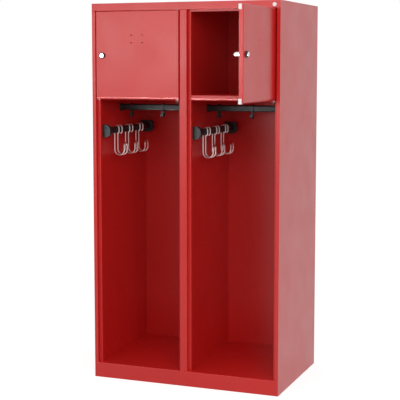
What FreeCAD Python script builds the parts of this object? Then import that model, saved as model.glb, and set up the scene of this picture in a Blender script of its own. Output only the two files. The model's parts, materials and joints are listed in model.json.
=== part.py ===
import FreeCAD, Part
import math
import os
import re
import Sketcher

# Open-fronted two-bay clothing locker of folded steel sheet. Each bay has a lockable compartment
# above a shelf and an open wardrobe below it, with a hook rail on its left wall and a clothes rail
# across it. The origin lies on the floor under the middle of the carcass; the front faces -Y.

Vector = FreeCAD.Vector
Rotation = FreeCAD.Rotation

SIZES = (
    ("width", 900, "outer width of the carcass"),
    ("depth", 600, "outer depth of the carcass"),
    ("height", 1740, "outer height of the carcass"),
    ("wall", 1, "thickness of the carcass sheet"),
    ("bend", 2.5, "outer radius of a plain fold"),
    ("post_face", 17, "width of an outer post's face, half of the centre post's"),
    ("rebate", 22, "depth of the door recess behind the front"),
    ("stop_lip", 12, "width of the door stop beside a post's face"),
    ("post_return", 20, "depth of a post behind its door stop"),
    ("rail_face", 34, "height of the top rail's face"),
    ("rail_lip", 9, "height of the door stop under the top rail"),
    ("plinth_face", 70, "height of the plinth and of the floor panels"),
    ("plinth_flange", 30, "depth of the plinth's folded flanges"),
    ("bearer_width", 60, "width of a floor bearer"),
    ("fixing_radius", 4.5, "radius of a wall fixing hole"),
    ("fixing_pitch", 450, "distance between the wall fixing holes"),
    ("fixing_drop", 90, "distance from the top to the wall fixing holes"),
    ("compartment", 412, "distance from the top to the shelf's upper face"),
    ("shelf_face", 25, "height of the shelf's front"),
    ("shelf_roll", 13, "outer radius of the roll under the shelf's front"),
    ("shelf_hem", 16, "depth of the hem under the shelf's front"),
    ("door_thick", 19, "thickness of a door"),
    ("door_sheet", 1, "thickness of the door sheet"),
    ("door_lip", 15, "width of the lip round the door's inner face"),
    ("door_roll", 14, "outer radius of the roll along the door's bottom"),
    ("door_edge", 2.5, "outer radius of the door's other front edges"),
    ("door_overlap", 22, "how far a door hangs below the shelf's upper face"),
    ("free_gap", 3, "gap at the door's free edge"),
    ("hinge_gap", 5, "gap at the door's hinge edge"),
    ("top_gap", 2, "gap above and below a door"),
    ("door_open", 88.5, "angle at which the right door stands open"),
    ("stiffener_width", 40, "width of the door's stiffener"),
    ("mark_radius", 2.7, "radius of the small holes in a door"),
    ("mark_wide", 54, "distance between the small holes across the door"),
    ("mark_tall", 34, "distance between the small holes up the door"),
    ("mark_level", 273, "height of the small holes above the door's bottom"),
    ("buffer_width", 14, "width of a corner buffer along the door"),
    ("buffer_height", 22, "height of a corner buffer on the door"),
    ("buffer_setback", 7, "distance from the door's face to a buffer"),
    ("buffer_proud", 0.6, "how far a buffer stands out of the door's edges"),
    ("buffer_edge", 1.5, "radius of a buffer's edges"),
    ("buffer_gap", 0.3, "gap between a buffer and the door stop"),
    ("pivot_inset", 8, "distance from the hinge axis to the door's hinge edge"),
    ("pivot_setback", 8, "distance from the door's face to the hinge axis"),
    ("pin_radius", 4, "radius of a pivot pin"),
    ("pin_reach", 9, "how far a pivot pin stands out of the door"),
    ("pin_fit", 0.05, "gap round a pivot pin or lock plug"),
    ("block_width", 18, "width of a pivot block inside the door"),
    ("block_height", 22, "height of a pivot block inside the door"),
    ("bush_radius", 6, "outer radius of a pivot bush"),
    ("bush_length", 11, "length of a pivot bush"),
    ("bush_collar", 7.5, "radius of a pivot bush's collar"),
    ("collar_thick", 0.8, "thickness of a pivot bush's collar"),
    ("pivot_plate", 3, "thickness of the plate under a door's pivot"),
    ("plate_reach", 10, "reach of that plate past the hinge axis"),
    ("lock_inset", 33, "distance from the door's free edge to the lock"),
    ("lock_level", 199, "height of the lock above the door's bottom"),
    ("face_radius", 9.5, "radius of the lock's face"),
    ("face_thick", 3, "thickness of the lock's face"),
    ("face_edge", 1.2, "radius of the edge round the lock's face"),
    ("rosette_radius", 13.5, "radius of the rosette under the lock's face, at the door"),
    ("rosette_front", 12, "radius of that rosette at its front"),
    ("rosette_stand", 8, "how far that rosette stands out of the door"),
    ("barrel_radius", 9, "radius of the lock's barrel"),
    ("nut_radius", 15, "corner radius of the lock's nut"),
    ("nut_thick", 6, "thickness of the lock's nut"),
    ("plug_radius", 6, "radius of the lock's turning plug"),
    ("key_wide", 1.6, "width of the keyhole"),
    ("key_tall", 7, "height of the keyhole"),
    ("key_deep", 5, "depth of the keyhole"),
    ("drive_width", 7, "width of the plug's square drive"),
    ("cam_gap", 0.5, "gap between the post and the lock's cam"),
    ("cam_length", 40, "reach of the lock's cam"),
    ("cam_width", 18, "width of the lock's cam"),
    ("cam_thick", 3, "thickness of the lock's cam"),
    ("screw_radius", 2.5, "radius of a screw's shank"),
    ("screw_head", 4.2, "radius of a screw's head"),
    ("head_thick", 2.8, "thickness of a screw's head"),
    ("cam_screw_head", 8, "corner radius of the cam screw's head"),
    ("cam_screw_tall", 4, "height of the cam screw's head"),
    ("cam_screw_deep", 9, "length of the cam screw's shank"),
    ("bar_wide", 15, "width of the oval bars"),
    ("bar_tall", 30, "height of the oval bars"),
    ("bar_wall", 1.5, "wall of the oval bars"),
    ("fit_gap", 0.1, "gap round a bar's end in its seat and round a screw"),
    ("run_gap", 0.35, "gap between a bar and what slides on it"),
    ("hook_rail_drop", 171, "distance from the shelf's upper face to the hook rail"),
    ("hook_offset", 40, "distance from the wall to the hook rail"),
    ("bracket_reach", 64, "reach of a hook rail bracket from the wall"),
    ("bracket_tall", 58, "height of a hook rail bracket"),
    ("bracket_thick", 20, "thickness of a hook rail bracket"),
    ("bracket_corner", 26, "radius of a bracket's outer corners"),
    ("bracket_front", 48, "distance from the front to the front bracket"),
    ("bracket_rear", 40, "distance from the back to the rear bracket"),
    ("seat_deep", 12, "depth of a bar's seat in a bracket or socket"),
    ("screw_pitch", 42, "distance between a bracket's screws"),
    ("screw_seat", 30, "distance from the wall to a bracket screw's head"),
    ("hook_first", 187, "distance from the front to the first hook"),
    ("hook_pitch", 121, "distance between hooks"),
    ("wire_radius", 3.5, "radius of the hook wire"),
    ("wire_spread", 17, "half distance between the wires of a hook"),
    ("wire_curl", 60, "angle by which a wire's end curls under its rail"),
    ("wire_end", 2, "straight length at a wire's end"),
    ("hook_tip", 38.5, "distance from the rail's axis to a hook's tip"),
    ("hook_drop", 123, "depth of a hook below the rail's axis"),
    ("tip_drop", 59, "depth of the hook's tip below the rail's axis"),
    ("clothes_rail_drop", 67, "distance from the shelf's upper face to the clothes rail"),
    ("clothes_setback", 300, "distance from the front to the clothes rail"),
    ("socket_wall", 4, "wall of a clothes rail socket"),
    ("socket_back", 3, "thickness of a socket behind the rail's end"),
    ("peg_pitch", 163, "distance between the small hooks on a clothes rail"),
    ("peg_length", 14, "length of a small hook along its rail"),
    ("peg_wall", 3.5, "wall of a small hook's ring"),
    ("peg_thick", 7, "thickness of a small hook's arm"),
    ("peg_bow", 8, "radius of a small hook's bow"),
    ("peg_drop", 47, "depth of a small hook below its rail's axis"),
    ("peg_tip", 7, "length of a small hook's upturned tip"),
    ("cover_radius", 9, "radius of the cover on the top rail"),
    ("cover_stand", 2.5, "how far the cover stands out"),
    ("cover_edge", 2, "radius of the cover's edge"),
    ("cover_stem", 4, "radius of the cover's stem"),
    ("stem_length", 4, "length of the cover's stem"),
    ("cover_inset", 10, "distance from the right post's face to the cover"),
    ("cover_level", 19, "distance from the top to the cover"),
)

# Places worked out from the sizes
FRONT = "(-depth / 2)"
BACK = "(depth / 2 - wall)"
STOP = "(-depth / 2 + rebate)"
POST_BACK = "(-depth / 2 + rebate + post_return)"
INNER_SIDE = "(width / 2 - wall)"
OPEN_FAR = "(width / 2 - post_face - stop_lip)"
OPEN_NEAR = "(post_face + stop_lip)"
RAIL_LOW = "(height - rail_face)"
SHELF_TOP = "(height - compartment)"
SHELF_LOW = f"({SHELF_TOP} - shelf_face)"
HOOK_LEVEL = f"({SHELF_TOP} - hook_rail_drop)"
CLOTHES_LEVEL = f"({SHELF_TOP} - clothes_rail_drop)"
DOOR_LOW = f"({SHELF_TOP} - door_overlap)"
DOOR_TOP = "(height - rail_face - top_gap)"
PLATE_TOP = f"({DOOR_LOW} - top_gap)"

# Places on a door, measured from its hinge axis while it is closed
DOOR_FREE = "(pivot_inset + 2 * post_face + free_gap + hinge_gap - width / 2)"
DOOR_FACE = "(-pivot_setback)"
DOOR_INNER = "(door_thick - pivot_setback)"
DOOR_MIDDLE = f"(({DOOR_FREE} + pivot_inset) / 2)"
LOCK_X = f"({DOOR_FREE} + lock_inset)"
LOCK_Z = f"({DOOR_LOW} + lock_level)"
CAM_NEAR = "(rebate + post_return + cam_gap - pivot_setback)"
CAM_FAR = f"({CAM_NEAR} + cam_thick)"

BAYS = (("left", -1), ("right", 1))
ALONG = {"x": Rotation(Vector(0, 1, 0), 90), "y": Rotation(Vector(1, 0, 0), -90), "z": Rotation()}
SECTION_TO_X = Rotation(Vector(1, 1, 1), 120)
LOCK_PIECES = ("housing", "rosette", "nut", "plug", "cam", "cam_screw")
STEPS = {"+x": (1, 0), "-x": (-1, 0), "+y": (0, 1), "-y": (0, -1)}

doc = FreeCAD.newDocument("locker")
sizes = doc.addObject("Spreadsheet::Sheet", "Sizes")
nodes = []


def fill_sheet():
    """Write every driving dimension, with its meaning, into the spreadsheet."""
    for row, (alias, value, meaning) in enumerate(SIZES, start=1):
        sizes.set(f"A{row}", meaning)
        sizes.set(f"B{row}", str(value))
        sizes.setAlias(f"B{row}", alias)
    doc.recompute()


def bound(text):
    """Expression of a document object for a sum of aliases."""
    return re.sub(r"[a-z_]+", lambda word: f"Sizes.{word.group()}", text)


def number(text):
    """Present value of a sum of aliases."""
    return float(sizes.evalExpression(text))


def place(item, x="0", y="0", z="0", rotation=Rotation()):
    """Put an object at a bound place."""
    item.Placement = FreeCAD.Placement(Vector(), rotation)
    for axis, text in zip("xyz", (x, y, z)):
        item.setExpression(f"Placement.Base.{axis}", bound(text))
    return item


def block(x, y, z):
    """Box between the low and high bounds on each axis."""
    item = doc.addObject("Part::Box", "block")
    for side, (low, high) in zip(("Length", "Width", "Height"), (x, y, z)):
        item.setExpression(side, bound(f"({high}) - ({low})"))
    return place(item, x[0], y[0], z[0])


def rod(axis, across, span, radius, far_radius=None):
    """Cylinder or cone along an axis; across gives its place on the other two axes, in order."""
    kind = "Part::Cylinder" if far_radius is None else "Part::Cone"
    item = doc.addObject(kind, "rod")
    item.setExpression("Radius" if far_radius is None else "Radius1", bound(radius))
    if far_radius is not None:
        item.setExpression("Radius2", bound(far_radius))
    item.setExpression("Height", bound(f"({span[1]}) - ({span[0]})"))
    spot = list(across)
    spot.insert("xyz".index(axis), span[0])
    return place(item, *spot, rotation=ALONG[axis])


def fuse(items):
    """One solid out of touching pieces."""
    item = doc.addObject("Part::MultiFuse", "joined")
    item.Shapes = items
    item.Refine = True
    return item


def cut(base, tools):
    """A piece less its holes."""
    item = doc.addObject("Part::Cut", "bored")
    item.Base = base
    item.Tool = fuse(tools) if len(tools) > 1 else tools[0]
    return item


def group(items):
    """Separate solids that share one node."""
    item = doc.addObject("Part::Compound", "set")
    item.Links = items
    return item


def node(label, item):
    """Name a finished sub-part."""
    item.Label = label
    nodes.append(item)
    return item


def near(one, other):
    """True for two lengths that are the same but for rounding."""
    return math.isclose(one, other, abs_tol=1e-4)


def any_edge(middle, box):
    """Choose every edge of a piece."""
    return True


def front_edge(middle, box):
    """Choose the edges round a piece's front."""
    return near(middle.y, box.YMin)


def front_bottom_edge(middle, box):
    """Choose the lower edge of a piece's front."""
    return front_edge(middle, box) and near(middle.z, box.ZMin)


def front_other_edge(middle, box):
    """Choose the edges of a piece's front except the lower one."""
    return front_edge(middle, box) and not near(middle.z, box.ZMin)


def outer_corner(middle, box):
    """Choose the upper and lower edge of a piece's face away from its wall."""
    return near(middle.x, box.XMax) and (near(middle.z, box.ZMin) or near(middle.z, box.ZMax))


def rear_right_edge(middle, box):
    """Choose the upright edge at a piece's rear right corner."""
    return near(middle.x, box.XMax) and near(middle.y, box.YMax)


def rounded(base, *rounds):
    """Round a piece's edges; each round is a choose(middle, box) function and a radius."""
    doc.recompute()
    box = base.Shape.BoundBox
    edges = []
    for choose, radius in rounds:
        size = number(radius)
        for index, edge in enumerate(base.Shape.Edges, start=1):
            if choose(edge.CenterOfMass, box):
                edges.append((index, size, size))
    item = doc.addObject("Part::Fillet", "rounded")
    item.Base = base
    item.Edges = edges
    return item


def shrink(bounds, by):
    """Bounds drawn in by the same amount at both ends."""
    return (f"{bounds[0]} + {by}", f"{bounds[1]} - {by}")


def around(middle, size):
    """Bounds of a size about its middle."""
    return (f"{middle} - {size} / 2", f"{middle} + {size} / 2")


def oval(axis, across, span, grow="0"):
    """Upright oval bar along x or y, larger than the rails by grow on every side."""
    half = f"(bar_wide / 2 + {grow})"
    rise = "(bar_tall / 2 - bar_wide / 2)"
    level, middle = across[1], across[0]
    wide = (f"{middle} - {half}", f"{middle} + {half}")
    tall = (f"{level} - {rise}", f"{level} + {rise}")
    core = block(span, wide, tall) if axis == "x" else block(wide, span, tall)
    caps = [rod(axis, (middle, f"{level} + {sign} * {rise}"), span, half) for sign in (-1, 1)]
    return fuse([core] + caps)


def oval_tube(axis, across, span):
    """Hollow oval bar."""
    return cut(oval(axis, across, span), [oval(axis, across, span, "(-bar_wall)")])


def strip(start, moves):
    """Outline of a folded sheet: its path, then the parallel path to the left of it.

    Each move is a direction, a length and the outer radius of the fold that ends it.
    Returns the outline's corners and, for each fold, its outer and inner corner with the radius.
    """
    path = [start]
    for heading, length, _ in moves:
        step = STEPS[heading]
        path.append(tuple(f"{at} + {k} * ({length})" for at, k in zip(path[-1], step)))
    headings = [STEPS[move[0]] for move in moves]
    inner = []
    for index, corner in enumerate(path):
        beside = headings[max(index - 1, 0):index + 1]
        shift = [sum(-dy for _, dy in beside), sum(dx for dx, _ in beside)]
        inner.append(tuple(f"{at} + {k} * wall" for at, k in zip(corner, shift)))
    folds = []
    for index in range(1, len(moves)):
        (ax, ay), (bx, by) = headings[index - 1:index + 1]
        pair = [path[index], inner[index]]
        if ax * by - ay * bx < 0:
            pair.reverse()
        folds.append((pair[0], pair[1], moves[index - 1][2]))
    return path + inner[::-1], folds


def outline_sketch(body, corners):
    """Closed sketch on the body's base plane with every corner bound to the sizes."""
    plane = next(item for item in body.Origin.OriginFeatures if item.Role == "XY_Plane")
    sketch = body.newObject("Sketcher::SketchObject", "section")
    sketch.AttachmentSupport = [(plane, "")]
    sketch.MapMode = "FlatFace"
    points = [Vector(number(x), number(y), 0) for x, y in corners]
    for index, point in enumerate(points):
        sketch.addGeometry(Part.LineSegment(point, points[(index + 1) % len(points)]), False)
    for index in range(len(points)):
        sketch.addConstraint(Sketcher.Constraint("Coincident", index, 2, (index + 1) % len(points), 1))
    for index, (corner, point) in enumerate(zip(corners, points)):
        for kind, on_axis, text, value in (
            ("DistanceX", -2, corner[0], point.x),
            ("DistanceY", -1, corner[1], point.y),
        ):
            if near(value, 0):
                sketch.addConstraint(Sketcher.Constraint("PointOnObject", index, 1, on_axis))
                continue
            constraint = sketch.addConstraint(Sketcher.Constraint(kind, -1, 1, index, 1, value))
            sketch.setExpression(f"Constraints[{constraint}]", bound(text))
    return sketch


def folded(start, moves, length):
    """Folded sheet profile, padded along its length, with rolled folds."""
    corners, folds = strip(start, moves)
    body = doc.addObject("PartDesign::Body", "profile")
    pad = body.newObject("PartDesign::Pad", "pad")
    pad.Profile = outline_sketch(body, corners)
    pad.setExpression("Length", bound(length))
    last = pad
    for outer, inner, radius in folds:
        for corner, size in ((inner, f"{radius} - wall"), (outer, radius)):
            doc.recompute()
            fold = body.newObject("PartDesign::Fillet", "fold")
            fold.Base = (last, [upright_edge(last.Shape, corner)])
            fold.setExpression("Radius", bound(size))
            last = fold
    return body


def upright_edge(shape, corner):
    """Name of the edge that rises from a corner of a profile's outline."""
    x, y = number(corner[0]), number(corner[1])
    for index, edge in enumerate(shape.Edges, start=1):
        low, high = edge.Vertexes[0].Point, edge.Vertexes[-1].Point
        if near(low.x, x) and near(low.y, y) and near(high.x, x) and near(high.y, y):
            return f"Edge{index}"
    raise ValueError(f"no fold at {corner}")


def mirrored(side, low, high):
    """Bounds on x of a piece on the right, or of its mirror image on the left."""
    return (low, high) if side > 0 else (f"-({high})", f"-({low})")


def bay_bounds(side):
    """Inner faces of a bay's left and right walls."""
    return mirrored(side, "wall / 2", INNER_SIDE)


def hinge_axis(side):
    """Place on x of a bay's hinge axis, beside its right-hand post."""
    edge = "width / 2 - post_face" if side > 0 else "-post_face"
    return f"({edge} - hinge_gap - pivot_inset)"


def carcass_panels():
    """Side walls, back, top, partition and floor."""
    inside = (f"-{INNER_SIDE}", INNER_SIDE)
    for name, side in BAYS:
        wall = block(mirrored(side, INNER_SIDE, "width / 2"), (FRONT, "depth / 2"), ("0", "height"))
        node(f"{name}_side_wall", wall)
    back = block(inside, (BACK, "depth / 2"), ("0", "height - wall"))
    level = "height - fixing_drop"
    holes = [
        rod("y", (f"{side} * fixing_pitch / 2", level), (BACK, "depth / 2"), "fixing_radius")
        for _, side in BAYS
    ]
    node("back_wall", cut(back, holes))
    node("top_panel", block(inside, (f"{FRONT} + wall", "depth / 2"), ("height - wall", "height")))
    partition = block(
        ("-wall / 2", "wall / 2"), (f"{POST_BACK} - wall", BACK), ("plinth_face", "height - wall")
    )
    node("centre_partition", partition)
    floors = [
        block(
            mirrored(side, "0", INNER_SIDE),
            (f"{FRONT} + plinth_flange", BACK),
            ("plinth_face - wall", "plinth_face"),
        )
        for _, side in BAYS
    ]
    node("floor_panels", group(floors))


def front_posts():
    """Folded posts with a door stop beside each face."""
    tall = f"{RAIL_LOW} - plinth_face"
    face = "post_face - wall"
    moves = [
        ("+x", face, "bend"),
        ("+y", "rebate", "bend"),
        ("+x", "stop_lip", "bend"),
        ("+y", "post_return", "bend"),
        ("-x", f"{face} + stop_lip", "bend"),
    ]
    left = place(folded(("0", "0"), moves, tall), f"-{INNER_SIDE}", FRONT, "plinth_face")
    node("left_front_post", left)
    turned = Rotation(Vector(0, 1, 0), 180)
    right = place(folded(("0", "0"), moves, tall), INNER_SIDE, FRONT, RAIL_LOW, turned)
    node("right_front_post", right)
    half_back = "post_face + stop_lip - wall / 2"
    moves = [
        ("-x", half_back, "bend"),
        ("-y", "post_return", "bend"),
        ("+x", "stop_lip", "bend"),
        ("-y", "rebate", "bend"),
        ("+x", "2 * post_face", "bend"),
        ("+y", "rebate", "bend"),
        ("+x", "stop_lip", "bend"),
        ("+y", "post_return", "bend"),
        ("-x", half_back, "bend"),
    ]
    centre = folded((half_back, "rebate + post_return"), moves, tall)
    node("centre_front_post", place(centre, f"-{OPEN_NEAR}", FRONT, "plinth_face"))


def top_rail():
    """Folded rail over both doors, with a door stop under it and holes for the upper pivots."""
    length = f"2 * {INNER_SIDE}"
    moves = [("-y", "rail_face", "bend"), ("+x", "rebate + wall", "bend")]
    rail = folded(("0", "rail_face"), moves, length)
    place(rail, f"-{INNER_SIDE}", FRONT, RAIL_LOW, SECTION_TO_X)
    lips = [
        block(
            mirrored(side, OPEN_NEAR, OPEN_FAR),
            (STOP, f"{STOP} + wall"),
            (f"{RAIL_LOW} - rail_lip", RAIL_LOW),
        )
        for _, side in BAYS
    ]
    hinge_y = f"{FRONT} + pivot_setback"
    flange = (RAIL_LOW, f"{RAIL_LOW} + wall")
    holes = [
        rod("z", (hinge_axis(side), hinge_y), flange, "bush_radius + fit_gap")
        for _, side in BAYS
    ]
    spot = ("width / 2 - post_face - cover_inset", "height - cover_level")
    holes.append(rod("y", spot, (FRONT, f"{FRONT} + wall"), "cover_stem + fit_gap"))
    node("top_front_rail", cut(fuse([rail] + lips), holes))
    head = rod("y", spot, (f"{FRONT} - cover_stand", FRONT), "cover_radius")
    stem = rod("y", spot, (FRONT, f"{FRONT} + stem_length"), "cover_stem")
    node("top_rail_cover", fuse([rounded(head, (front_edge, "cover_edge")), stem]))


def base():
    """Plinth across the front and the bearers under the floor panels."""
    moves = [
        ("-x", "plinth_flange", "bend"),
        ("-y", "plinth_face", "bend"),
        ("+x", "plinth_flange", "bend"),
    ]
    plinth = folded(("plinth_flange", "plinth_face"), moves, f"2 * {INNER_SIDE}")
    node("front_plinth", place(plinth, f"-{INNER_SIDE}", FRONT, "0", SECTION_TO_X))
    deep = f"{BACK} - {FRONT} - plinth_flange"
    rise = "plinth_face - wall"
    moves = [("-y", rise, "bend"), ("+x", "bearer_width", "bend"), ("+y", rise, "bend")]
    lying = Rotation(Vector(1, 0, 0), 90)
    bearers = [
        place(folded(("0", rise), moves, deep), low, BACK, "0", lying)
        for low in (f"-{INNER_SIDE}", "-bearer_width / 2", f"{INNER_SIDE} - bearer_width")
    ]
    node("base_bearers", group(bearers))


def shelves():
    """Shelf of each bay: rolled front between the door stops, deck and turned-down flanges."""
    hem = [
        ("-x", "post_return", "bend"),
        ("-y", "shelf_face", "shelf_roll"),
        ("+x", "shelf_hem", "bend"),
    ]
    deck = (f"{SHELF_TOP} - wall", SHELF_TOP)
    skirt = (SHELF_LOW, deck[0])
    for name, side in BAYS:
        low, high = mirrored(side, OPEN_NEAR, OPEN_FAR)
        front = folded(("post_return", "shelf_face"), hem, f"{high} - ({low})")
        place(front, low, STOP, SHELF_LOW, SECTION_TO_X)
        low, high = bay_bounds(side)
        pieces = [front, block((low, high), (POST_BACK, BACK), deck)]
        pieces.append(block((low, high), (f"{BACK} - wall", BACK), skirt))
        for edge in ((low, f"{low} + wall"), (f"{high} - wall", high)):
            pieces.append(block(edge, (POST_BACK, f"{BACK} - wall"), skirt))
        node(f"{name}_shelf", fuse(pieces))


def clothes_rails():
    """Oval rail across each bay, seated in a socket on each wall."""
    across = (f"({FRONT} + clothes_setback)", CLOTHES_LEVEL)
    rails = []
    sockets = []
    for _, side in BAYS:
        low, high = bay_bounds(side)
        span = (f"{low} + socket_back", f"{high} - socket_back")
        rails.append(oval_tube("x", across, span))
        for cup, seat in (
            ((low, f"{low} + seat_deep"), (span[0], f"{low} + seat_deep")),
            ((f"{high} - seat_deep", high), (f"{high} - seat_deep", span[1])),
        ):
            shell = oval("x", across, cup, "socket_wall")
            sockets.append(cut(shell, [oval("x", across, seat, "fit_gap")]))
    node("clothes_rails", group(rails))
    node("clothes_rail_sockets", group(sockets))


def hook_rails():
    """Oval rail along the left wall of each bay, in two screwed brackets."""
    front = (f"{FRONT} + bracket_front", f"{FRONT} + bracket_front + bracket_thick")
    rear = (f"{BACK} - bracket_rear - bracket_thick", f"{BACK} - bracket_rear")
    front_seat = (f"{front[1]} - seat_deep", front[1])
    rear_seat = (rear[0], f"{rear[0]} + seat_deep")
    rails = []
    brackets = []
    screws = []
    for _, side in BAYS:
        wall = bay_bounds(side)[0]
        across = (f"({wall} + hook_offset)", HOOK_LEVEL)
        shank = (wall, f"{wall} + screw_seat")
        head = (shank[1], f"{shank[1]} + head_thick")
        well = (shank[1], f"{wall} + bracket_reach")
        rails.append(oval_tube("y", across, (front_seat[0], rear_seat[1])))
        for reach, seat in ((front, front_seat), (rear, rear_seat)):
            holes = [oval("y", across, seat, "fit_gap")]
            for sign in (-1, 1):
                spot = (f"({reach[0]} + {reach[1]}) / 2", f"{HOOK_LEVEL} + {sign} * screw_pitch / 2")
                holes.append(rod("x", spot, shank, "screw_radius + fit_gap"))
                holes.append(rod("x", spot, well, "screw_head + fit_gap"))
                screw = [rod("x", spot, shank, "screw_radius"), rod("x", spot, head, "screw_head")]
                screws.append(fuse(screw))
            brackets.append(cut(bracket_body(wall, reach), holes))
    node("hook_rails", group(rails))
    node("hook_rail_brackets", group(brackets))
    node("bracket_screws", group(screws))


def bracket_body(wall, reach):
    """Block against the wall with rounded outer corners."""
    body = block((wall, f"{wall} + bracket_reach"), reach, around(HOOK_LEVEL, "bracket_tall"))
    return rounded(body, (outer_corner, "bracket_corner"))


def arc_path(points, radii):
    """Wire of straight runs through points, each inner corner rounded by its radius."""
    edges = []
    start = points[0]
    for before, corner, after, radius in zip(points, points[1:], points[2:], radii):
        back = (before - corner).normalize()
        ahead = (after - corner).normalize()
        half = back.getAngle(ahead) / 2
        reach = radius / math.tan(half)
        centre = corner + (back + ahead).normalize() * (radius / math.sin(half))
        middle = centre + (corner - centre).normalize() * radius
        enter = corner + back * reach
        leave = corner + ahead * reach
        if not near((enter - start).Length, 0):
            edges.append(Part.LineSegment(start, enter).toShape())
        edges.append(Part.Arc(enter, middle, leave).toShape())
        start = leave
    edges.append(Part.LineSegment(start, points[-1]).toShape())
    return Part.Wire(edges)


def hook_wire():
    """Hairpin of wire that hangs over the rail, measured from the rail's axis."""
    ride = number("bar_wide / 2 + run_gap + wire_radius")
    shoulder = number("bar_tall / 2 - bar_wide / 2")
    tip, spread = number("hook_tip"), number("wire_spread")
    bottom = number("wire_radius - hook_drop")
    crest = number("-tip_drop - wire_radius")
    curl = math.radians(number("wire_curl"))
    tuck = ride * math.tan(curl / 2)
    heel = Vector(ride, spread, -shoulder - tuck)
    inward = Vector(-math.sin(curl), 0, -math.cos(curl))
    side = [
        heel + inward * (tuck + number("wire_end")),
        heel,
        Vector(ride, spread, shoulder + ride),
        Vector(-ride, spread, shoulder + ride),
        Vector(-ride, spread, bottom),
        Vector(tip, spread, bottom),
        Vector(tip, spread, crest),
    ]
    points = side + [Vector(spot.x, -spot.y, spot.z) for spot in reversed(side)]
    bow = (tip + ride) / 2
    bends = [ride, ride, ride, bow, bow, spread]
    path = arc_path(points, bends + bends[::-1])
    circle = Part.Circle(points[0], inward, number("wire_radius"))
    return path.makePipeShell([Part.Wire(circle.toShape())], True, False)


def hooks():
    """Wire hooks that slide on the hook rails."""
    for name, side in BAYS:
        rail = f"{bay_bounds(side)[0]} + hook_offset"
        for index, order in enumerate(("front", "middle", "rear")):
            wire = doc.addObject("Part::Feature", "wire")
            wire.Shape = hook_wire()
            spot = (rail, f"{FRONT} + hook_first + {index} * hook_pitch", HOOK_LEVEL)
            node(f"{name}_{order}_hook", place(wire, *spot))


def small_hook():
    """Moulded hook as wide as its ring, measured from its rail's axis."""
    half = "peg_length / 2"
    along = (f"-{half}", half)
    ring_low = "(-bar_tall / 2 - run_gap - peg_wall / 2)"
    bow_level = "(peg_bow + peg_thick / 2 - peg_drop)"
    bow_spot = ("-peg_bow", bow_level)
    outer = "(peg_bow + peg_thick / 2)"
    inner = "(peg_bow - peg_thick / 2)"
    above = block(along, around("-peg_bow", f"2 * {outer}"), (bow_level, f"{bow_level} + {outer}"))
    bow = cut(rod("x", bow_spot, along, outer), [rod("x", bow_spot, along, inner), above])
    arm = block(along, around("0", "peg_thick"), (bow_level, ring_low))
    tip = block(along, around("-2 * peg_bow", "peg_thick"), (bow_level, f"{bow_level} + peg_tip"))
    ring = oval("x", ("0", "0"), along, "(run_gap + peg_wall)")
    return cut(fuse([ring, arm, bow, tip]), [oval("x", ("0", "0"), along, "run_gap")])


def small_hooks():
    """Small hooks that slide on the clothes rails."""
    for name, side in BAYS:
        for order, step in (("left", -1), ("middle", 0), ("right", 1)):
            across = f"{side} * width / 4 + {step} * peg_pitch"
            spot = (across, f"{FRONT} + clothes_setback", CLOTHES_LEVEL)
            node(f"{name}_bay_{order}_small_hook", place(small_hook(), *spot))


def hang(item, side):
    """Hang a door's piece on its hinge axis; the right door stands open."""
    turn = Rotation(Vector(0, 0, 1), number("door_open") if side > 0 else 0)
    return place(item, hinge_axis(side), f"{FRONT} + pivot_setback", "0", turn)


def door_pan():
    """Door sheet folded to a pan, with a rolled bottom, holes and notches for its buffers."""
    x = (DOOR_FREE, "pivot_inset")
    y = (DOOR_FACE, DOOR_INNER)
    z = (DOOR_LOW, DOOR_TOP)
    shell = rounded(
        block(x, y, z),
        (front_bottom_edge, "door_roll"),
        (front_other_edge, "door_edge"),
    )
    hollow = rounded(
        block(*(shrink(bounds, "door_sheet") for bounds in (x, y, z))),
        (front_bottom_edge, "door_roll - door_sheet"),
        (front_other_edge, "door_edge - door_sheet"),
    )
    lip = (f"{DOOR_INNER} - door_sheet", DOOR_INNER)
    mouth = block(shrink(x, "door_lip"), lip, shrink(z, "door_lip"))
    skin = (DOOR_FACE, f"{DOOR_FACE} + door_sheet")
    holes = [hollow, mouth]
    for across in around(DOOR_MIDDLE, "mark_wide"):
        for up in around(f"{DOOR_LOW} + mark_level", "mark_tall"):
            holes.append(rod("y", (across, up), skin, "mark_radius"))
    holes.append(rod("y", (LOCK_X, LOCK_Z), skin, "barrel_radius + fit_gap"))
    for ends in (z[0], f"{z[0]} + door_roll"), (f"{z[1]} - door_sheet", z[1]):
        holes.append(rod("z", ("0", "0"), ends, "pin_radius + fit_gap"))
    holes += [block(*bounds) for bounds in buffer_bounds()]
    return cut(shell, holes)


def buffer_bounds():
    """Boxes of the buffers at the upper and lower corners of the door's free edge."""
    x = (f"{DOOR_FREE} - buffer_proud", f"{DOOR_FREE} + buffer_width")
    y = (f"{DOOR_FACE} + buffer_setback", "rebate - pivot_setback - buffer_gap")
    lower = (f"{DOOR_LOW} - buffer_proud", f"{DOOR_LOW} + buffer_height")
    upper = (f"{DOOR_TOP} - buffer_height", f"{DOOR_TOP} + buffer_proud")
    return [(x, y, lower), (x, y, upper)]


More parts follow.
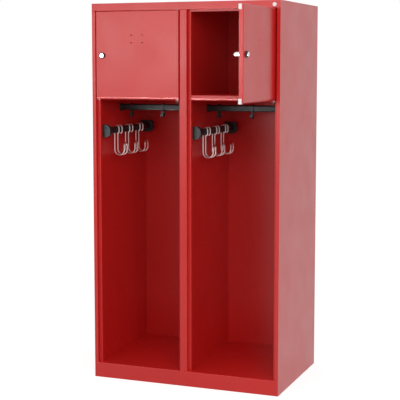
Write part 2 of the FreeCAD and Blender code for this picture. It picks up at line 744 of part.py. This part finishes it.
def door_fittings():
    """Stiffener, corner buffers, pivot blocks and pins of one door."""
    inner = f"{DOOR_INNER} - door_sheet"
    skin = f"{DOOR_FACE} + door_sheet"
    x = around(DOOR_MIDDLE, "stiffener_width")
    z = (f"{DOOR_LOW} + door_roll", f"{DOOR_TOP} - door_edge")
    web = block(x, (f"{inner} - door_sheet", inner), z)
    legs = [
        block(leg, (skin, f"{inner} - door_sheet"), z)
        for leg in ((x[0], f"{x[0]} + door_sheet"), (f"{x[1]} - door_sheet", x[1]))
    ]
    stiffener = fuse([web] + legs)
    buffers = [rounded(block(*bounds), (any_edge, "buffer_edge")) for bounds in buffer_bounds()]
    side = ("pivot_inset - door_sheet - block_width", "pivot_inset - door_sheet")
    deep = (f"{DOOR_FACE} + door_edge", inner)
    low = (f"{DOOR_LOW} + door_roll", f"{DOOR_LOW} + door_roll + block_height")
    high = (f"{DOOR_TOP} - door_sheet - block_height", f"{DOOR_TOP} - door_sheet")
    blocks = [
        cut(block(side, deep, span), [rod("z", ("0", "0"), span, "pin_radius + fit_gap")])
        for span in (low, high)
    ]
    pins = [
        rod("z", ("0", "0"), (f"{DOOR_LOW} - pin_reach", low[1]), "pin_radius"),
        rod("z", ("0", "0"), (high[0], f"{DOOR_TOP} + pin_reach"), "pin_radius"),
    ]
    return stiffener, group(buffers), group(blocks), group(pins)


def hexagon(spot, span, radius):
    """Six-sided nut or head along y, with its corner radius."""
    item = doc.addObject("Part::Prism", "hexagon")
    item.Polygon = 6
    item.setExpression("Circumradius", bound(radius))
    item.setExpression("Height", bound(f"({span[1]}) - ({span[0]})"))
    return place(item, spot[0], span[0], spot[1], ALONG["y"])


def lock_pieces():
    """Lock face with its barrel, rosette, nut, turning plug, cam and cam screw."""
    spot = (LOCK_X, LOCK_Z)
    rosette_span = (f"{DOOR_FACE} - rosette_stand", DOOR_FACE)
    lock_front = f"{rosette_span[0]} - face_thick"
    barrel_end = f"{CAM_NEAR} - run_gap"
    face = rod("y", spot, (lock_front, rosette_span[0]), "face_radius")
    barrel = rod("y", spot, (rosette_span[0], barrel_end), "barrel_radius")
    bore = rod("y", spot, (lock_front, barrel_end), "plug_radius + pin_fit")
    housing = cut(fuse([rounded(face, (front_edge, "face_edge")), barrel]), [bore])
    ring = rod("y", spot, rosette_span, "rosette_front", "rosette_radius")
    rosette = cut(ring, [rod("y", spot, rosette_span, "barrel_radius + fit_gap")])
    seat = (f"{DOOR_FACE} + door_sheet", f"{DOOR_FACE} + door_sheet + nut_thick")
    nut = cut(hexagon(spot, seat, "nut_radius"), [rod("y", spot, seat, "barrel_radius + fit_gap")])
    plug_front = f"{lock_front} + run_gap"
    core = rod("y", spot, (plug_front, barrel_end), "plug_radius")
    drive = (around(LOCK_X, "drive_width"), (barrel_end, CAM_FAR), around(LOCK_Z, "drive_width"))
    slot = (plug_front, f"{plug_front} + key_deep")
    keyhole = block(around(LOCK_X, "key_wide"), slot, around(LOCK_Z, "key_tall"))
    shank = (f"{CAM_FAR} - cam_screw_deep", CAM_FAR)
    plug = cut(fuse([core, block(*drive)]), [keyhole, rod("y", spot, shank, "screw_radius + fit_gap")])
    thick = (CAM_NEAR, CAM_FAR)
    plate = block((LOCK_X, f"{LOCK_X} + cam_length"), thick, around(LOCK_Z, "cam_width"))
    heel = rod("y", spot, thick, "cam_width / 2")
    cam = cut(fuse([plate, heel]), [block(drive[0], thick, drive[2])])
    head = hexagon(spot, (CAM_FAR, f"{CAM_FAR} + cam_screw_tall"), "cam_screw_head")
    screw = fuse([rod("y", spot, shank, "screw_radius"), head])
    return housing, rosette, nut, plug, cam, screw


def doors():
    """Both doors with everything that swings on them."""
    for name, side in BAYS:
        node(f"{name}_door_pan", hang(door_pan(), side))
        for part, item in zip(("stiffener", "buffers", "pivot_blocks", "pivot_pins"), door_fittings()):
            node(f"{name}_door_{part}", hang(item, side))
        for part, item in zip(LOCK_PIECES, lock_pieces()):
            node(f"{name}_lock_{part}", hang(item, side))


def pivots():
    """Plates under the doors and the bushes that their pins turn in."""
    y = f"({FRONT} + pivot_setback)"
    plates = []
    bushes = []
    for _, side in BAYS:
        x = hinge_axis(side)
        low = (f"{PLATE_TOP} - pivot_plate", PLATE_TOP)
        reach = (f"{x} - plate_reach", f"{x} + pivot_inset + hinge_gap")
        plate = rounded(block(reach, (f"{FRONT} + wall", STOP), low), (rear_right_edge, "bend"))
        plates.append(cut(plate, [rod("z", (x, y), low, "bush_radius + fit_gap")]))
        lower = (
            (f"{PLATE_TOP} - bush_length", PLATE_TOP),
            (PLATE_TOP, f"{PLATE_TOP} + collar_thick"),
        )
        upper = (
            (RAIL_LOW, f"{RAIL_LOW} + bush_length"),
            (f"{RAIL_LOW} - collar_thick", RAIL_LOW),
        )
        for body, collar in (lower, upper):
            sleeve = fuse([rod("z", (x, y), body, "bush_radius"), rod("z", (x, y), collar, "bush_collar")])
            bore = [rod("z", (x, y), span, "pin_radius + pin_fit") for span in (body, collar)]
            bushes.append(cut(sleeve, bore))
    node("pivot_plates", group(plates))
    node("pivot_bushes", group(bushes))


def check_and_write():
    """Stop on any failed object or broken shape, then write each sub-part."""
    doc.recompute()
    for item in doc.Objects:
        if "Invalid" in item.State or "Error" in item.State:
            raise RuntimeError(f"{item.Name} failed: {item.State}")
    for item in nodes:
        if item.Shape.isNull() or not item.Shape.isValid() or not item.Shape.Solids:
            raise RuntimeError(f"{item.Label} has no sound shape")
    os.makedirs("parts", exist_ok=True)
    for item in nodes:
        item.Shape.exportStep(f"parts/{item.Label}.step")
    print(f"{len(nodes)} nodes, {sum(len(item.Shape.Solids) for item in nodes)} solids")


fill_sheet()
carcass_panels()
front_posts()
top_rail()
base()
shelves()
clothes_rails()
hook_rails()
hooks()
small_hooks()
doors()
pivots()
check_and_write()
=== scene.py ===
import json
import math

import bpy
from mathutils import Matrix, Vector


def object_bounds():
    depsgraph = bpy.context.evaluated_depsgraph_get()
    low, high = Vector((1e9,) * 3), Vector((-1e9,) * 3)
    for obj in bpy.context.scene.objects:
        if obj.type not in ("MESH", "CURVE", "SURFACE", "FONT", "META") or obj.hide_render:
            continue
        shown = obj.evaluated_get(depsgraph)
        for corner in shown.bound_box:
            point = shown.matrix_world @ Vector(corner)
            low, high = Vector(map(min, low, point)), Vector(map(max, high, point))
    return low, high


# Two-bay steel clothing locker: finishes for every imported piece, a studio floor, lights and camera.
# Lengths are metres and angles are degrees.

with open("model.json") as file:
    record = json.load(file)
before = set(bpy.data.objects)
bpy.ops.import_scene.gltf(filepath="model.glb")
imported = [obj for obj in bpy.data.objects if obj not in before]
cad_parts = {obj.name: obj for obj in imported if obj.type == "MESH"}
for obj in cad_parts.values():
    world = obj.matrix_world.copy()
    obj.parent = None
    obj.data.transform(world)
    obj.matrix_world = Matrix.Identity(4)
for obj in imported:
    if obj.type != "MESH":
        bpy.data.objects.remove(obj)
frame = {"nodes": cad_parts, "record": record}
cad_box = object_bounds()

# Camera: where it stands, which way it looks, its focal length in pixels and its vertical shift
IMAGE_SIZE = 400
SENSOR_WIDTH = 36.0
CAMERA_PLACE = (1.8674, -4.8950, 1.4633)
CAMERA_TURN = 21.252
CAMERA_TILT = 5.956
CAMERA_FOCUS = 1110.83
CAMERA_SHIFT = -0.0485

# Studio: light of the surroundings, brightness of the white background, and the floor's size, own glow,
# colour to the eye and colour for bounced light
AMBIENT = 0.55
WHITE = 1.0
FLOOR_SIZE = 200.0
FLOOR_GLOW = 0.70
FLOOR_SHADE = 0.6
FLOOR_BOUNCE = 0.4

# Soft boxes in front of the locker: place, target, size and brightness
KEY_PLACE = (-1.5, -4.3, 1.65)
KEY_TARGET = (0.0, -0.3, 1.3)
KEY_SIZE = (2.4, 0.5)
KEY_LIGHT = 8.0
FILL_PLACE = (2.7, -4.2, 2.6)
FILL_TARGET = (0.0, -0.3, 0.8)
FILL_SIZE = (2.5, 2.0)
FILL_LIGHT = 5.6

# Strips of light on the floor: distances in front of the locker, height, size, width of the beam and
# brightness, the rolled edges they aim at, and the sideways step for each metre of distance
STRIP_REACH = (0.35, 0.85, 1.6)
STRIP_LEVEL = 0.02
STRIP_SIZE = (2.6, 0.45)
STRIP_BEAM = 26.0
STRIP_LIGHT = 1.1
ROLLED_EDGES = (0.0, -0.3, 1.31)
STRIP_SLOPE = 0.42

# Range that holds most values of a noise
NOISE_LOW = 0.3
NOISE_HIGH = 0.7

# Rays that smooth a sharp edge
EDGE_SAMPLES = 6


def new_material(name):
    """Material with a plain principled shader; returns it with its node tree and shader."""
    material = bpy.data.materials.new(name)
    material.use_nodes = True
    tree = material.node_tree
    return material, tree, tree.nodes["Principled BSDF"]


def add_node(tree, kind, links=None, **values):
    """Shader node with its own settings, and with its inputs linked or set by name."""
    node = tree.nodes.new(kind)
    for name, value in values.items():
        setattr(node, name, value)
    for name, source in (links or {}).items():
        if hasattr(source, "is_output"):
            tree.links.new(source, node.inputs[name])
        else:
            node.inputs[name].default_value = source
    return node


def noise(tree, scale, detail=3.0, roughness=0.5, stretch=(1, 1, 1)):
    """Noise between 0 and 1 fixed to the piece, with its scale in waves per metre."""
    place = add_node(tree, "ShaderNodeTexCoord").outputs["Object"]
    mapping = add_node(tree, "ShaderNodeMapping", {"Vector": place, "Scale": stretch})
    settings = {
        "Vector": mapping.outputs["Vector"],
        "Scale": scale,
        "Detail": detail,
        "Roughness": roughness,
    }
    return add_node(tree, "ShaderNodeTexNoise", settings).outputs["Fac"]


def span(tree, value, low, high, start=NOISE_LOW, end=NOISE_HIGH):
    """Value between start and end spread from low to high."""
    settings = {"Value": value, "From Min": start, "From Max": end, "To Min": low, "To Max": high}
    return add_node(tree, "ShaderNodeMapRange", settings).outputs["Result"]


def blend(tree, pattern, dark, light):
    """Colour that runs from dark to light with a noise pattern."""
    node = add_node(tree, "ShaderNodeMix", data_type="RGBA")
    tree.links.new(span(tree, pattern, 0.0, 1.0), node.inputs[0])
    colour_inputs = [socket for socket in node.inputs if socket.type == "RGBA"]
    for socket, colour in zip(colour_inputs, (dark, light)):
        socket.default_value = (*colour, 1)
    return next(socket for socket in node.outputs if socket.type == "RGBA")


def bump(tree, height, depth, normal=None):
    """Normal of a surface with the given relief, depth in metres."""
    links = {"Height": height, "Distance": depth, "Strength": 1.0}
    if normal is not None:
        links["Normal"] = normal
    return add_node(tree, "ShaderNodeBump", links).outputs["Normal"]


def soft_edges(tree, radius):
    """Normal that runs smoothly over sharp edges."""
    return add_node(tree, "ShaderNodeBevel", {"Radius": radius}, samples=EDGE_SAMPLES).outputs["Normal"]


def finish(tree, shader, colour, roughness, normal):
    """Join a finish's colour, roughness and normal to the shader."""
    tree.links.new(colour, shader.inputs["Base Color"])
    tree.links.new(roughness, shader.inputs["Roughness"])
    tree.links.new(normal, shader.inputs["Normal"])


def red_paint():
    """Glossy red powder coat: slight cloudiness and a fine orange peel."""
    deep_red = (0.60, 0.0145, 0.0125)
    light_red = (0.64, 0.0175, 0.0150)
    peel_depth = 0.00004
    material, tree, shader = new_material("red_paint")
    cloud = noise(tree, 4.0, detail=4.0)
    sheen = noise(tree, 7.0, detail=1.0)
    peel = noise(tree, 420.0, detail=2.0, roughness=0.4)
    colour = blend(tree, cloud, deep_red, light_red)
    finish(tree, shader, colour, span(tree, sheen, 0.28, 0.34), bump(tree, peel, peel_depth))
    return material


def black_paint():
    """Satin black powder coat on the rails."""
    black = (0.004, 0.005, 0.0055)
    soft_black = (0.009, 0.011, 0.0115)
    grain_depth = 0.00006
    material, tree, shader = new_material("black_paint")
    grain = noise(tree, 900.0, detail=2.0)
    sheen = noise(tree, 60.0)
    colour = blend(tree, grain, black, soft_black)
    finish(tree, shader, colour, span(tree, sheen, 0.44, 0.56), bump(tree, grain, grain_depth))
    return material


def black_plastic():
    """Black moulded plastic with a fine spark-eroded grain."""
    black = (0.008, 0.010, 0.0105)
    soft_black = (0.016, 0.019, 0.020)
    edge_radius = 0.0010
    grain_depth = 0.00008
    material, tree, shader = new_material("black_plastic")
    edges = soft_edges(tree, edge_radius)
    grain = noise(tree, 1300.0, detail=2.0)
    sheen = noise(tree, 90.0)
    colour = blend(tree, grain, black, soft_black)
    finish(tree, shader, colour, span(tree, sheen, 0.42, 0.55), bump(tree, grain, grain_depth, edges))
    return material


def white_nylon():
    """White nylon, slightly warm and waxy."""
    warm_white = (0.86, 0.84, 0.80)
    clear_white = (0.91, 0.90, 0.87)
    edge_radius = 0.0008
    grain_depth = 0.00004
    material, tree, shader = new_material("white_nylon")
    edges = soft_edges(tree, edge_radius)
    cloud = noise(tree, 150.0)
    sheen = noise(tree, 400.0)
    grain = noise(tree, 1500.0, detail=2.0)
    colour = blend(tree, cloud, warm_white, clear_white)
    finish(tree, shader, colour, span(tree, sheen, 0.30, 0.42), bump(tree, grain, grain_depth, edges))
    shader.inputs["Subsurface Weight"].default_value = 0.1
    shader.inputs["Subsurface Radius"].default_value = (0.002, 0.002, 0.0015)
    return material


def plated(name, dark, light, rough, make_grain, depth):
    """Plated metal: darker and lighter patches of a fine grain, with a faint relief."""
    material, tree, shader = new_material(name)
    grain = make_grain(tree)
    colour = blend(tree, grain, dark, light)
    finish(tree, shader, colour, span(tree, grain, *rough), bump(tree, grain, depth))
    shader.inputs["Metallic"].default_value = 1.0
    return material


def even_grain(tree):
    """Grain of a bent wire, the same in every direction."""
    return noise(tree, 90.0, detail=2.0)


def drawn_grain(tree):
    """Marks of a turned or pressed piece, drawn out upwards."""
    return noise(tree, 550.0, roughness=0.6, stretch=(1, 1, 0.08))


def finishes():
    """One finish for each material slot of the record."""
    return {
        "red_paint": red_paint(),
        "black_paint": black_paint(),
        "black_plastic": black_plastic(),
        "white_nylon": white_nylon(),
        # The pinkish tint of the wire colours is a painted reflection of the red paint around the
        # hooks; plated wire is not pink.
        "bright_wire": plated(
            "bright_wire", (0.80, 0.71, 0.69), (0.90, 0.81, 0.79), (0.30, 0.40), even_grain, 0.00001
        ),
        "lock_chrome": plated(
            "lock_chrome", (0.86, 0.86, 0.87), (0.92, 0.92, 0.93), (0.06, 0.12), drawn_grain, 0.00001
        ),
        "zinc_steel": plated(
            "zinc_steel", (0.58, 0.59, 0.60), (0.72, 0.73, 0.74), (0.28, 0.42), drawn_grain, 0.00003
        ),
        "dark_steel": plated(
            "dark_steel", (0.07, 0.07, 0.075), (0.12, 0.12, 0.125), (0.35, 0.5), drawn_grain, 0.00003
        ),
    }


def dress_frame():
    """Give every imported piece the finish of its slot."""
    made = finishes()
    for subpart in frame["record"]["subparts"]:
        piece = frame["nodes"][subpart["node"]]
        for slot in piece.material_slots:
            slot.material = made[subpart["material_slot"]]


def aim(place, target):
    """Rotation that looks from a place to a target."""
    return (Vector(target) - Vector(place)).to_track_quat("-Z", "Y").to_euler()


def soft_box(name, place, target, size, radiance):
    """Rectangular studio light of a given brightness."""
    lamp = bpy.data.lights.new(name, "AREA")
    lamp.shape = "RECTANGLE"
    lamp.size, lamp.size_y = size
    lamp.energy = radiance * math.pi * size[0] * size[1]
    light = bpy.data.objects.new(name, lamp)
    light.location = place
    light.rotation_euler = aim(place, target)
    light.visible_camera = False
    bpy.context.scene.collection.objects.link(light)
    return light


def seen_rays(tree):
    """1 for rays that show the background: camera, glossy and transmission rays."""
    path = add_node(tree, "ShaderNodeLightPath")
    first = add_node(tree, "ShaderNodeMath", operation="MAXIMUM")
    tree.links.new(path.outputs["Is Camera Ray"], first.inputs[0])
    tree.links.new(path.outputs["Is Glossy Ray"], first.inputs[1])
    second = add_node(tree, "ShaderNodeMath", operation="MAXIMUM")
    tree.links.new(first.outputs["Value"], second.inputs[0])
    tree.links.new(path.outputs["Is Transmission Ray"], second.inputs[1])
    return second.outputs["Value"]


def white_world():
    """White surroundings for the eye and for reflections, a plain ambient level for light."""
    world = bpy.data.worlds.new("studio")
    bpy.context.scene.world = world
    world.use_nodes = True
    tree = world.node_tree
    strength = span(tree, seen_rays(tree), AMBIENT, WHITE, start=0.0, end=1.0)
    tree.links.new(strength, tree.nodes["Background"].inputs["Strength"])
    tree.nodes["Background"].inputs["Color"].default_value = (1, 1, 1, 1)


def grey(level):
    """Grey of a given brightness."""
    return (level, level, level, 1)


def studio_floor():
    """White floor that keeps a soft shadow: the eye sees it glow, other light meets a plain grey."""
    mesh = bpy.data.meshes.new("floor")
    half = FLOOR_SIZE / 2
    level = cad_box[0][2]
    corners = [(-half, -half, level), (half, -half, level), (half, half, level), (-half, half, level)]
    mesh.from_pydata(corners, [], [(0, 1, 2, 3)])
    floor = bpy.data.objects.new("floor", mesh)
    bpy.context.scene.collection.objects.link(floor)
    material, tree, shader = new_material("studio_floor")
    tree.nodes.remove(shader)
    plain = add_node(tree, "ShaderNodeBsdfDiffuse", {"Color": grey(FLOOR_BOUNCE)}).outputs[0]
    shade = add_node(tree, "ShaderNodeBsdfDiffuse", {"Color": grey(FLOOR_SHADE)}).outputs[0]
    glow = add_node(tree, "ShaderNodeEmission", {"Strength": FLOOR_GLOW}).outputs[0]
    lit = add_node(tree, "ShaderNodeAddShader")
    tree.links.new(shade, lit.inputs[0])
    tree.links.new(glow, lit.inputs[1])
    choice = add_node(tree, "ShaderNodeMixShader")
    tree.links.new(seen_rays(tree), choice.inputs[0])
    tree.links.new(plain, choice.inputs[1])
    tree.links.new(lit.outputs[0], choice.inputs[2])
    tree.links.new(choice.outputs[0], tree.nodes["Material Output"].inputs["Surface"])
    mesh.materials.append(material)


def studio_lights():
    """Soft boxes in front: a low flat one on the left, and a high one on the right without glare."""
    soft_box("key_light", KEY_PLACE, KEY_TARGET, KEY_SIZE, KEY_LIGHT)
    fill = soft_box("fill_light", FILL_PLACE, FILL_TARGET, FILL_SIZE, FILL_LIGHT)
    fill.visible_glossy = False


def edge_lights():
    """Narrow beams from the floor that glint in the rolled edges of the doors and shelves."""
    for index, reach in enumerate(STRIP_REACH):
        place = (ROLLED_EDGES[0] - STRIP_SLOPE * reach, ROLLED_EDGES[1] - reach, STRIP_LEVEL)
        strip = soft_box(f"edge_light_{index}", place, ROLLED_EDGES, STRIP_SIZE, STRIP_LIGHT)
        strip.data.spread = math.radians(STRIP_BEAM)
        strip.visible_diffuse = False


def photo_camera():
    """Camera at the photograph's viewpoint."""
    data = bpy.data.cameras.new("camera")
    data.sensor_width = SENSOR_WIDTH
    data.lens = CAMERA_FOCUS * SENSOR_WIDTH / IMAGE_SIZE
    data.shift_y = CAMERA_SHIFT
    camera = bpy.data.objects.new("camera", data)
    turn = Matrix.Rotation(math.radians(CAMERA_TURN), 4, "Z")
    tilt = Matrix.Rotation(math.radians(90 - CAMERA_TILT), 4, "X")
    camera.matrix_world = Matrix.Translation(CAMERA_PLACE) @ turn @ tilt
    bpy.context.scene.collection.objects.link(camera)
    bpy.context.scene.camera = camera


bpy.context.scene.view_settings.view_transform = "Standard"
dress_frame()
white_world()
studio_floor()
studio_lights()
edge_lights()
photo_camera()
